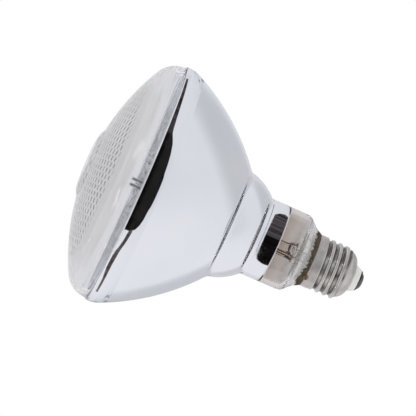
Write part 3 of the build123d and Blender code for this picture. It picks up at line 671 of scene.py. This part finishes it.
def cement_rise(angle):
    """How far the squeezed-out cement climbs the glass at an angle, in millimetres."""
    place = noise_place(angle)
    ragged = sum(noise.noise(place * scale) * size for scale, size in CEMENT_WAVES)
    gap = turn_between(angle, solder_angle)
    smear = CEMENT_SMEAR * math.exp(-((gap / CEMENT_SMEAR_WIDTH) ** 2))
    share = min(1.0, max(0.0, CEMENT_MEAN + CEMENT_RAGGED * ragged + smear))
    return CEMENT_LOW_RISE + (CEMENT_HIGH_RISE - CEMENT_LOW_RISE) * share


def cement_section(angle):
    """The cement's outline at an angle: down from the cap's rim to its edge, and up the glass."""
    lump = 1 + CEMENT_LUMP * noise.noise(noise_place(angle) * CEMENT_LUMP_SCALE)
    film = CEMENT_FILM * lump
    edge = cap_rim - cement_rise(angle)
    bead = cap_rim - CEMENT_BEAD_DROP
    taper = edge + CEMENT_TAPER
    tuck = edge + CEMENT_TUCK
    root_radius = cone_radius(cap_rim) - CEMENT_BITE
    return [
        (SKIRT_BORE, cap_rim),
        (SKIRT_RADIUS, cap_rim),
        (SKIRT_RADIUS + CEMENT_LIP * lump, cap_rim - CEMENT_LIP_DROP),
        (cone_radius(bead) + film + CEMENT_BEAD, bead),
        (cone_radius(taper) + film, taper),
        (cone_radius(edge) + CEMENT_EDGE, edge),
        (cone_radius(tuck) - CEMENT_BITE, tuck),
        (root_radius, cap_rim),
        (root_radius, cap_rim + CEMENT_ROOT),
    ]


def cement_collar():
    """Cement between cap and glass, with the rough edge that runs up the cone."""
    sections = []
    for angle in even_angles(CEMENT_STEPS):
        section = cement_section(angle)
        sections.append([ring(radius, height, [angle])[0] for radius, height in section])
    rings = list(zip(*sections))
    return shell_mesh("cap_cement", rings + [rings[0]], CEMENT_SHARP)


# Materials

class Nodes:
    """A node tree with short ways to add and link its nodes."""

    def __init__(self, tree):
        self.tree = tree

    def add(self, kind, **values):
        """A new node with its properties set by name."""
        node = self.tree.nodes.new(kind)
        for key, value in values.items():
            setattr(node, key, value)
        return node

    def give(self, value, socket):
        """Link an output to an input socket, or set the socket to a constant."""
        if isinstance(value, bpy.types.NodeSocket):
            self.tree.links.new(value, socket)
        else:
            socket.default_value = value

    def spread(self, value, low, high, start=0.0, end=1.0, curve="LINEAR"):
        """A value mapped from one range to another, clamped."""
        node = self.add("ShaderNodeMapRange", interpolation_type=curve)
        self.give(value, node.inputs["Value"])
        self.give(low, node.inputs["From Min"])
        self.give(high, node.inputs["From Max"])
        self.give(start, node.inputs["To Min"])
        self.give(end, node.inputs["To Max"])
        return node.outputs["Result"]

    def calculate(self, operation, first, second):
        """A value from two values."""
        node = self.add("ShaderNodeMath", operation=operation)
        self.give(first, node.inputs[0])
        self.give(second, node.inputs[1])
        return node.outputs["Value"]

    def vector(self, operation, *values):
        """A vector operation, whose result is a value for a length or a dot product."""
        node = self.add("ShaderNodeVectorMath", operation=operation)
        for socket, value in zip(node.inputs, values):
            self.give(value, socket)
        return node.outputs["Value" if operation in ("LENGTH", "DOT_PRODUCT") else "Vector"]

    def multiply(self, first, second, share=1.0):
        """Two colours multiplied, by a share of the effect."""
        node = self.add("ShaderNodeMix", data_type="RGBA", blend_type="MULTIPLY")
        self.give(share, node.inputs["Factor"])
        sockets = [s for s in node.inputs if s.type == "RGBA"]
        self.give(first, sockets[0])
        self.give(second, sockets[1])
        return [s for s in node.outputs if s.type == "RGBA"][0]

    def glow(self, kind, colour, strength):
        """A shader that gives off light."""
        node = self.add(kind)
        self.give(colour, node.inputs["Color"])
        self.give(strength, node.inputs["Strength"])
        return node.outputs[0]

    def choose(self, share, first, second):
        """The first of two shaders where a share is 0, and the second where it is 1."""
        node = self.add("ShaderNodeMixShader")
        for socket, value in zip(node.inputs, (share, first, second)):
            self.give(value, socket)
        return node.outputs[0]


class Shader(Nodes):
    """A material with short ways to give its surface colour, polish and relief."""

    def __init__(self, name):
        self.material = bpy.data.materials.new(name)
        self.material.use_nodes = True
        super().__init__(self.material.node_tree)
        self.surface = self.tree.nodes["Principled BSDF"]

    def set(self, **values):
        """Constants on the surface's own sockets."""
        for key, value in values.items():
            self.surface.inputs[key.replace("_", " ")].default_value = value

    def feed(self, value, socket):
        """A value that varies, into one of the surface's sockets."""
        self.give(value, self.surface.inputs[socket])

    def show(self, shader):
        """Another shader in place of the surface."""
        self.give(shader, self.tree.nodes["Material Output"].inputs["Surface"])

    def place(self):
        """Object coordinates in metres."""
        return self.add("ShaderNodeTexCoord").outputs["Object"]

    def coordinate(self, axis):
        """One coordinate in metres."""
        split = self.add("ShaderNodeSeparateXYZ")
        self.give(self.place(), split.inputs["Vector"])
        return split.outputs[axis]

    def axis_distance(self):
        """Distance from the axis in metres."""
        return self.vector("LENGTH", self.vector("MULTIPLY", self.place(), (1.0, 1.0, 0.0)))

    def grid_distance(self, cell, place, squash):
        """Distance from the nearest point of a grid through a place, squashed along x, in metres."""
        moved = self.vector("SUBTRACT", self.place(), (*place, 0.0))
        high = (cell[0] / 2, cell[1] / 2, 1.0)
        low = (-cell[0] / 2, -cell[1] / 2, -1.0)
        near = self.vector("WRAP", moved, high, low)
        return self.vector("LENGTH", self.vector("MULTIPLY", near, (squash, 1.0, 0.0)))

    def noise(self, scale, detail=4.0, roughness=0.5, stretch=None):
        """A noise value over the object's coordinates; stretch scales them by axis."""
        texture = self.add("ShaderNodeTexNoise")
        self.give(scale, texture.inputs["Scale"])
        self.give(detail, texture.inputs["Detail"])
        self.give(roughness, texture.inputs["Roughness"])
        place = self.place()
        if stretch is not None:
            mapping = self.add("ShaderNodeMapping")
            self.give(stretch, mapping.inputs["Scale"])
            self.give(place, mapping.inputs["Vector"])
            place = mapping.outputs["Vector"]
        self.give(place, texture.inputs["Vector"])
        return texture.outputs["Fac"]

    def ramp(self, value, stops):
        """A colour from a value, by (position, colour) stops."""
        node = self.add("ShaderNodeValToRGB")
        elements = node.color_ramp.elements
        while len(elements) < len(stops):
            elements.new(0.5)
        for element, (position, colour) in zip(elements, stops):
            element.position = position
            element.color = (*colour, 1.0)
        self.give(value, node.inputs["Fac"])
        return node.outputs["Color"]

    def tint(self, value, *stops):
        """The surface's colour from a value, by (position, colour) stops."""
        self.feed(self.ramp(value, stops), "Base Color")

    def mottle(self, grain, dark, light):
        """The surface's colour between two shades, by a noise."""
        self.tint(grain, (MOTTLE_DARK, dark), (MOTTLE_LIGHT, light))

    def polish(self, grain, low, high, smoothest, roughest):
        """The surface's roughness between two values, by a noise from low to high."""
        self.feed(self.spread(grain, low, high, smoothest, roughest), "Roughness")

    def bump(self, value, distance, strength=1.0):
        """Small relief from a value, its distance in millimetres."""
        node = self.add("ShaderNodeBump")
        self.give(distance * MM, node.inputs["Distance"])
        self.give(strength, node.inputs["Strength"])
        self.give(value, node.inputs["Height"])
        self.feed(node.outputs["Normal"], "Normal")


def glass(name, tint, roughest, index, clear=1.0):
    """Glass with a faint unevenness in its tint and polish."""
    shader = Shader(name)
    shader.set(Transmission_Weight=clear, IOR=index)
    paler = tuple(min(1.0, part * GLASS_PALER) for part in tint)
    shader.mottle(shader.noise(scale=60.0), tint, paler)
    shader.polish(shader.noise(scale=140.0), low=0.35, high=0.75, smoothest=0.0, roughest=roughest)
    return shader.material


def groove_shade_share(shader):
    """Painted shade of the lenslets' flanks: 0 on the lenslets and 1 in the grooves that run across the
    view between them.
    """
    pitch = STIPPLE_PITCH * MM
    row_step = pitch * math.sqrt(3) / 2
    cell = (2 * row_step, pitch)
    even_rows = shader.grid_distance(cell, (0.0, 0.0), GROOVE_SHADE_SQUASH)
    odd_rows = shader.grid_distance(cell, (row_step, pitch / 2), GROOVE_SHADE_SQUASH)
    gap = shader.calculate("MINIMUM", even_rows, odd_rows)
    groove_shade = shader.spread(gap, GROOVE_SHADE_START * MM, GROOVE_SHADE_END * MM)
    fade_start = (STIPPLE_REACH - STIPPLE_FADE) * MM
    reach = shader.spread(shader.axis_distance(), fade_start, STIPPLE_REACH * MM, 1.0, 0.0)
    return shader.calculate("MULTIPLY", groove_shade, reach)


def stippled_glass():
    """Inside of the lens: clear, with painted shade in the grooves between its lenslets."""
    shader = Shader("stippled_glass")
    shader.set(Transmission_Weight=1.0, IOR=GLASS_INDEX, Roughness=0.08)
    # The dark groove colour is painted shade of the lenslets' flanks
    lenslet, groove_shade = (0.99, 0.99, 0.985), (0.10, 0.09, 0.075)
    shader.tint(groove_shade_share(shader), (0.0, lenslet), (1.0, groove_shade))
    return shader.material


def dome_glass():
    """Outside of the lens: a pale bloom on the glass, with the grooves' painted shade showing through
    it.
    """
    shader = Shader("lens_dome_glass")
    shader.set(Transmission_Weight=DOME_CLEAR, IOR=GLASS_INDEX, Roughness=0.04)
    calm = shader.spread(shader.axis_distance(), CALM_START * MM, CALM_END * MM, CALM_SHARE, 1.0)
    # The dark groove colour is painted shade of the lenslets' flanks, seen through the bloom
    bloom, groove_shade = (0.96, 0.957, 0.975), (0.33, 0.305, 0.27)
    depth = shader.calculate("MULTIPLY", groove_shade_share(shader), calm)
    shader.tint(depth, (0.0, bloom), (1.0, groove_shade))
    return shader.material


def index_glass():
    """Ground crowns of the index ribs, grey against the polished flange."""
    shader = Shader("index_rib_glass")
    shader.set(Transmission_Weight=RIB_CLEAR, IOR=GLASS_INDEX)
    grain = shader.noise(scale=900.0)
    shader.mottle(grain, dark=(0.10, 0.10, 0.11), light=(0.22, 0.22, 0.24))
    shader.polish(grain, low=0.3, high=0.7, smoothest=0.2, roughest=0.45)
    return shader.material


def neck_glass():
    """The bulb's glass: clear over the mirror, hazed on the bare neck, milky on the cone."""
    shader = Shader("bulb_glass")
    height = shader.coordinate("Z")
    index_start = (COATING_END - INDEX_CHANGE) * MM
    index = shader.spread(height, index_start, COATING_END * MM, MIRROR_GLASS_INDEX, GLASS_INDEX)
    shader.feed(index, "IOR")
    clear = shader.spread(height, CONE_CLOUD_START * MM, CONE_CLOUD_FULL * MM, 1.0, CONE_CLEAR)
    shader.feed(clear, "Transmission Weight")
    shader.tint(shader.spread(height, NECK_TINT_START * MM, TAIL_END * MM), *NECK_TINT)
    shader.polish(shader.noise(scale=90.0), low=0.35, high=0.75, smoothest=0.0, roughest=0.06)
    return shader.material


def mirror_metal():
    """Evaporated aluminium, bright, with faint cloudiness."""
    shader = Shader("mirror_aluminium")
    shader.set(Metallic=1.0)
    cloud = shader.noise(scale=28.0, detail=3.0)
    shader.mottle(cloud, dark=(0.88, 0.90, 0.93), light=(0.93, 0.94, 0.95))
    shader.polish(shader.noise(scale=300.0), low=0.3, high=0.8, smoothest=0.0, roughest=0.012)
    return shader.material


def thread_dirt_and_shade(shader, thread_end):
    """How dark the thread's grooves are painted, from 0 to 1, up to the thread's end in metres: dirt
    and painted shade, left out in bands by x that show as painted highlights.
    """
    groove_shade = shader.spread(shader.axis_distance(), DIRT_AND_SHADE_FULL * MM, DIRT_AND_SHADE_GONE * MM, 1.0, 0.0)
    threads = shader.spread(shader.coordinate("Z"), thread_end - MM, thread_end, 1.0, 0.0)
    grain = shader.noise(scale=520.0, detail=3.0, stretch=(0.22, 0.22, 1.6))
    streaks = shader.spread(grain, low=0.42, high=0.56, start=0.6, end=1.0)
    across = shader.spread(shader.coordinate("X"), -DIRT_AND_SHADE_REACH * MM, DIRT_AND_SHADE_REACH * MM)
    stops = [((x / DIRT_AND_SHADE_REACH + 1) / 2, (share, share, share)) for x, share in DIRT_AND_SHADE_SHARES]
    patches = shader.calculate("MULTIPLY", streaks, shader.ramp(across, stops))
    return shader.calculate("MULTIPLY", patches, shader.calculate("MULTIPLY", groove_shade, threads))


def brushed_nickel():
    """Nickelled shell: satin, brushed round, with stains, and with dirt and painted shade in its
    thread's grooves, left out in bands of painted highlight.
    """
    shader = Shader("cap_nickel")
    shader.set(Metallic=1.0)
    skirt_end = (cap_rim + SKIRT_LENGTH) * MM
    thread_end = skirt_end + THREAD_LENGTH * MM
    stain = shader.noise(scale=150.0, detail=5.0)
    stain_colours = [
        (0.3, (0.425, 0.40, 0.37)),
        (0.5, (0.58, 0.557, 0.525)),
        (0.75, (0.70, 0.677, 0.645)),
    ]
    # Dark colour of the thread's grooves: dirt and painted shade; the bands where it is left out are
    # painted highlights
    dirt_and_shade_colours = [(0.0, WHITE), (1.0, (0.045, 0.04, 0.035))]
    dirt_and_shade = shader.ramp(thread_dirt_and_shade(shader, thread_end), dirt_and_shade_colours)
    shader.feed(shader.multiply(shader.ramp(stain, stain_colours), dirt_and_shade), "Base Color")
    height = shader.coordinate("Z")
    skirt = shader.spread(height, skirt_end, skirt_end + MM, start=0.20, end=0.0)
    dome = shader.spread(height, thread_end - MM, thread_end + MM, start=0.0, end=0.22)
    satin = shader.calculate("ADD", skirt, dome)
    lines = shader.noise(scale=90.0, detail=6.0, roughness=0.65, stretch=(1.0, 1.0, 26.0))
    grain = shader.spread(lines, low=0.3, high=0.75, start=0.05, end=0.16)
    shader.feed(shader.calculate("ADD", satin, grain), "Roughness")
    shader.bump(lines, distance=0.012, strength=0.3)
    return shader.material


def metal(name, dark, light, smoothest, roughest, scale):
    """Plain metal whose colour and polish vary a little."""
    shader = Shader(name)
    shader.set(Metallic=1.0)
    grain = shader.noise(scale, detail=5.0)
    shader.mottle(grain, dark, light)
    shader.polish(grain, low=0.3, high=0.7, smoothest=smoothest, roughest=roughest)
    return shader.material


def matt(name, dark, light, roughness, scale, relief):
    """A dull solid with mottled colour and fine relief."""
    shader = Shader(name)
    shader.set(Roughness=roughness)
    grain = shader.noise(scale, detail=6.0, roughness=0.6)
    shader.mottle(grain, dark, light)
    shader.bump(grain, relief)
    return shader.material


def cap_cement():
    """Dark brown basing cement."""
    dark, light = (0.012, 0.009, 0.005), (0.13, 0.095, 0.055)
    return matt("cap_cement", dark, light, roughness=0.8, scale=900.0, relief=0.3)


def resistor_ceramic():
    """Fired body of the starting resistor."""
    dark, light = (0.46, 0.38, 0.28), (0.66, 0.58, 0.46)
    return matt("resistor_ceramic", dark, light, roughness=0.6, scale=250.0, relief=0.1)


def glazed_insulator():
    """Pale vitreous insulator with faint mottling under its glaze."""
    shader = Shader("insulator_ceramic")
    shader.set(Roughness=0.22, Coat_Weight=0.4, Coat_Roughness=0.1)
    grain = shader.noise(scale=180.0, detail=5.0)
    shader.mottle(grain, dark=(0.66, 0.66, 0.63), light=(0.78, 0.78, 0.76))
    return shader.material


def amber_solder():
    """Side joint: solder under dark to amber flux."""
    shader = Shader("side_solder_flux")
    shader.set(Roughness=0.25, Coat_Weight=0.8, Coat_Roughness=0.08)
    grain = shader.noise(scale=500.0)
    dark, amber, light = (0.03, 0.013, 0.003), (0.25, 0.10, 0.015), (0.50, 0.25, 0.06)
    shader.tint(grain, (0.35, dark), (0.55, amber), (0.75, light))
    shader.bump(grain, distance=0.15)
    return shader.material


# Pieces that stand for CAD nodes

def add_piece(name, mesh, material, slot, *nodes):
    """Put a mesh into the scene as a piece that stands for CAD nodes."""
    piece = bpy.data.objects.new(name, mesh)
    bpy.context.scene.collection.objects.link(piece)
    mesh.materials.append(material)
    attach(piece, "root")
    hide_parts(*nodes)
    return piece


flange_glass = glass(
    "lens_glass", tint=(0.97, 0.975, 0.985), roughest=0.05, index=GLASS_INDEX, clear=FLANGE_CLEAR
)
lens = add_piece("front_lens_glass", front_lens(), flange_glass, "lens_glass", "front_lens")
lens.data.materials.append(index_glass())
lens.data.materials.append(stippled_glass())
lens.data.materials.append(dome_glass())
mark_lens_faces(lens.data)
add_piece("reflector_glass", reflector_glass(), neck_glass(), "bulb_glass", "reflector_bulb")
add_piece("mirror_layer", mirror_layer(), mirror_metal(), "mirror_aluminium", "mirror_coating")
add_piece("cap_cement", cement_collar(), cap_cement(), "cement", "basing_cement")

# Finishes of the CAD nodes that keep their shape
stem_glass = glass("stem_glass", tint=(0.93, 0.92, 0.90), roughest=0.03, index=STEM_INDEX)
quartz = glass("quartz", tint=(0.97, 0.97, 0.97), roughest=0.03, index=QUARTZ_INDEX)
metals = {name: metal(name, *values) for name, values in METALS.items()}
finishes = {
    "cap_shell": brushed_nickel(),
    "cap_insulator": glazed_insulator(),
    "contact_plate": metals["contact_brass"],
    "contact_solder": metals["solder"],
    "side_solder": amber_solder(),
    "stem": stem_glass,
    "exhaust_tube": stem_glass,
    "filament_bead": stem_glass,
    "centre_seal": metals["copper_wire"],
    "side_seal": metals["copper_wire"],
    "side_lead": metals["copper_wire"],
    "centre_lead": metals["nickel_wire"],
    "long_frame_rod": metals["nickel_wire"],
    "short_frame_rod": metals["nickel_wire"],
    "arc_tube": quartz,
    "front_electrode": metals["tungsten"],
    "rear_electrode": metals["tungsten"],
    "starting_electrode": metals["tungsten"],
    "ballast_filament": metals["tungsten"],
    "seal_foils": metals["molybdenum"],
    "front_arc_lead": metals["molybdenum"],
    "rear_arc_lead": metals["molybdenum"],
    "probe_lead": metals["molybdenum"],
    "filament_hook": metals["molybdenum"],
    "front_strap": metals["strap_steel"],
    "rear_strap": metals["strap_steel"],
    "starting_resistor": resistor_ceramic(),
    "mercury_drop": metals["mercury"],
}
for node, finish in finishes.items():
    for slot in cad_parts[node].material_slots:
        slot.material = finish


# Studio

def stage_piece(name, verts, faces, material):
    """A mesh that belongs to the studio and not to the bulb."""
    mesh = bpy.data.meshes.new(name)
    mesh.from_pydata(verts, [], faces)
    mesh.materials.append(material)
    piece = bpy.data.objects.new(name, mesh)
    bpy.context.scene.collection.objects.link(piece)
    return piece


def floor_finish():
    """Pale floor, seen from above only."""
    shader = Shader("studio_floor")
    shader.set(Base_Color=(*FLOOR_COLOUR, 1.0), Roughness=0.9, Specular_IOR_Level=0.0)
    below = shader.add("ShaderNodeNewGeometry").outputs["Backfacing"]
    clear = shader.add("ShaderNodeBsdfTransparent").outputs[0]
    shader.show(shader.choose(below, shader.surface.outputs[0], clear))
    return shader.material


def studio_floor():
    """A round floor that takes the bulb's shadow, and shows in no reflection or glass."""
    verts = [
        (FLOOR_RADIUS * math.cos(a), FLOOR_RADIUS * math.sin(a), 0.0) for a in even_angles(FLOOR_STEPS)
    ]
    floor = stage_piece("studio_floor", verts, [tuple(range(FLOOR_STEPS))], floor_finish())
    floor.visible_glossy = False
    floor.visible_transmission = False
    floor.visible_diffuse = False
    floor.visible_shadow = False


def card_finish(name, dark, light, strength):
    """A card's own light, streaked from top to bottom."""
    shader = Shader(name)
    streaks = shader.noise(scale=2.4, detail=3.0, roughness=0.6, stretch=(1.0, 1.0, 0.0))
    colour = shader.ramp(streaks, [(0.40, dark), (0.62, light)])
    shader.show(shader.glow("ShaderNodeEmission", colour, strength))
    return shader.material


def studio_way(turn, lift):
    """The unit direction of a turn and a lift."""
    t = math.radians(turn)
    r = math.radians(lift)
    return Vector((-math.cos(r) * math.sin(t), -math.cos(r) * math.cos(t), math.sin(r)))


def card_point(turn, lift):
    """The point of the cards' sphere in a direction from the bulb."""
    return STUDIO_CENTRE + CARD_REACH * studio_way(turn, lift)


def reflection_card(name, verts, faces, dark, light, strength):
    """A card that only reflections and glass show."""
    card = stage_piece(name, verts, faces, card_finish(name, dark, light, strength))
    card.visible_camera = False
    card.visible_diffuse = False
    card.visible_shadow = False


def edge_lift(edge, turn):
    """The lift of a card's edge at a turn, by straight runs between its points."""
    return float(np.interp(turn, [p[0] for p in edge], [p[1] for p in edge]))


def studio_card(name, low, high, dark, light, strength=1.0):
    """A card curved round the bulb between a low and a high edge."""
    start, end = low[0][0], low[-1][0]
    count = math.ceil((end - start) / CARD_STEP)
    verts = []
    for index in range(count + 1):
        turn = start + (end - start) * index / count
        verts += [card_point(turn, edge_lift(edge, turn)) for edge in (low, high)]
    faces = [(2 * k, 2 * k + 2, 2 * k + 3, 2 * k + 1) for k in range(count)]
    reflection_card(name, verts, faces, dark, light, strength)


def softbox(name, corners):
    """A bright four-cornered card."""
    verts = [card_point(turn, lift) for turn, lift in corners]
    reflection_card(name, verts, [(0, 1, 2, 3)], WHITE, WHITE, SOFTBOX_STRENGTH)


def lamp(name, turn, lift):
    """A small bright card with level edges round a direction."""
    half = LAMP_WIDTH / 2
    low = [(turn - half, lift - half), (turn + half, lift - half)]
    high = [(turn - half, lift + half), (turn + half, lift + half)]
    studio_card(name, low, high, LAMP_COLOUR, LAMP_COLOUR, LAMP_STRENGTH)


def studio_world():
    """White for the camera, a plain level for diffuse light, a pale tent for reflections."""
    world = bpy.data.worlds.new("studio")
    bpy.context.scene.world = world
    world.use_nodes = True
    world.node_tree.nodes.clear()
    nodes = Nodes(world.node_tree)
    way = nodes.add("ShaderNodeTexCoord").outputs["Generated"]
    colour = (*TENT, 1.0)
    for direction, full, none, shade in TENT_SHADES:
        facing = nodes.vector("DOT_PRODUCT", way, studio_way(*direction))
        none_facing, full_facing = math.cos(math.radians(none)), math.cos(math.radians(full))
        share = nodes.spread(facing, none_facing, full_facing, curve="SMOOTHSTEP")
        colour = nodes.multiply(colour, (*shade, 1.0), share)
    tent = nodes.glow("ShaderNodeBackground", colour, 1.0)
    plain = nodes.glow("ShaderNodeBackground", (*WHITE, 1.0), PLAIN_LEVEL)
    seen = nodes.glow("ShaderNodeBackground", (*WHITE, 1.0), 1.0)
    path = nodes.add("ShaderNodeLightPath").outputs
    shine = nodes.calculate("MAXIMUM", path["Is Glossy Ray"], path["Is Transmission Ray"])
    unseen = nodes.choose(shine, plain, tent)
    output = nodes.add("ShaderNodeOutputWorld")
    nodes.give(nodes.choose(path["Is Camera Ray"], unseen, seen), output.inputs["Surface"])


studio_floor()
for name, card in CARDS.items():
    studio_card(name, *card)
for index, corners in enumerate(SOFTBOXES):
    softbox(f"softbox_{index}", corners)
for index, (turn, lift) in enumerate(LAMPS):
    lamp(f"lamp_{index}", turn, lift)
studio_world()


# Camera

def photo_camera():
    """A camera at the photograph's viewing angle, with the bulb's axis lying as it does there."""
    data = bpy.data.cameras.new("photo_camera")
    camera = bpy.data.objects.new("photo_camera", data)
    bpy.context.scene.collection.objects.link(camera)
    data.sensor_width = SENSOR
    distance = -CAMERA_PLACE.y
    data.lens = PIXELS_PER_MM / MM * distance / IMAGE_SIZE * SENSOR
    data.clip_end = CAMERA_RANGE
    forward = (CAMERA_TARGET - CAMERA_PLACE).normalized()
    along, down = AXIS_IN_IMAGE
    up = Vector((-along, 0.0, -down))
    right = forward.cross(up).normalized()
    up = right.cross(forward)
    turn = Matrix((right, up, -forward)).transposed().to_4x4()
    camera.matrix_world = Matrix.Translation(CAMERA_PLACE) @ turn
    bpy.context.scene.camera = camera


photo_camera()

scene = bpy.context.scene
scene.view_settings.view_transform = "Standard"

# Light passes many faces of glass, so it gets many bounces
scene.cycles.max_bounces = 32
scene.cycles.transmission_bounces = 32
scene.cycles.glossy_bounces = 24
scene.cycles.transparent_max_bounces = 16
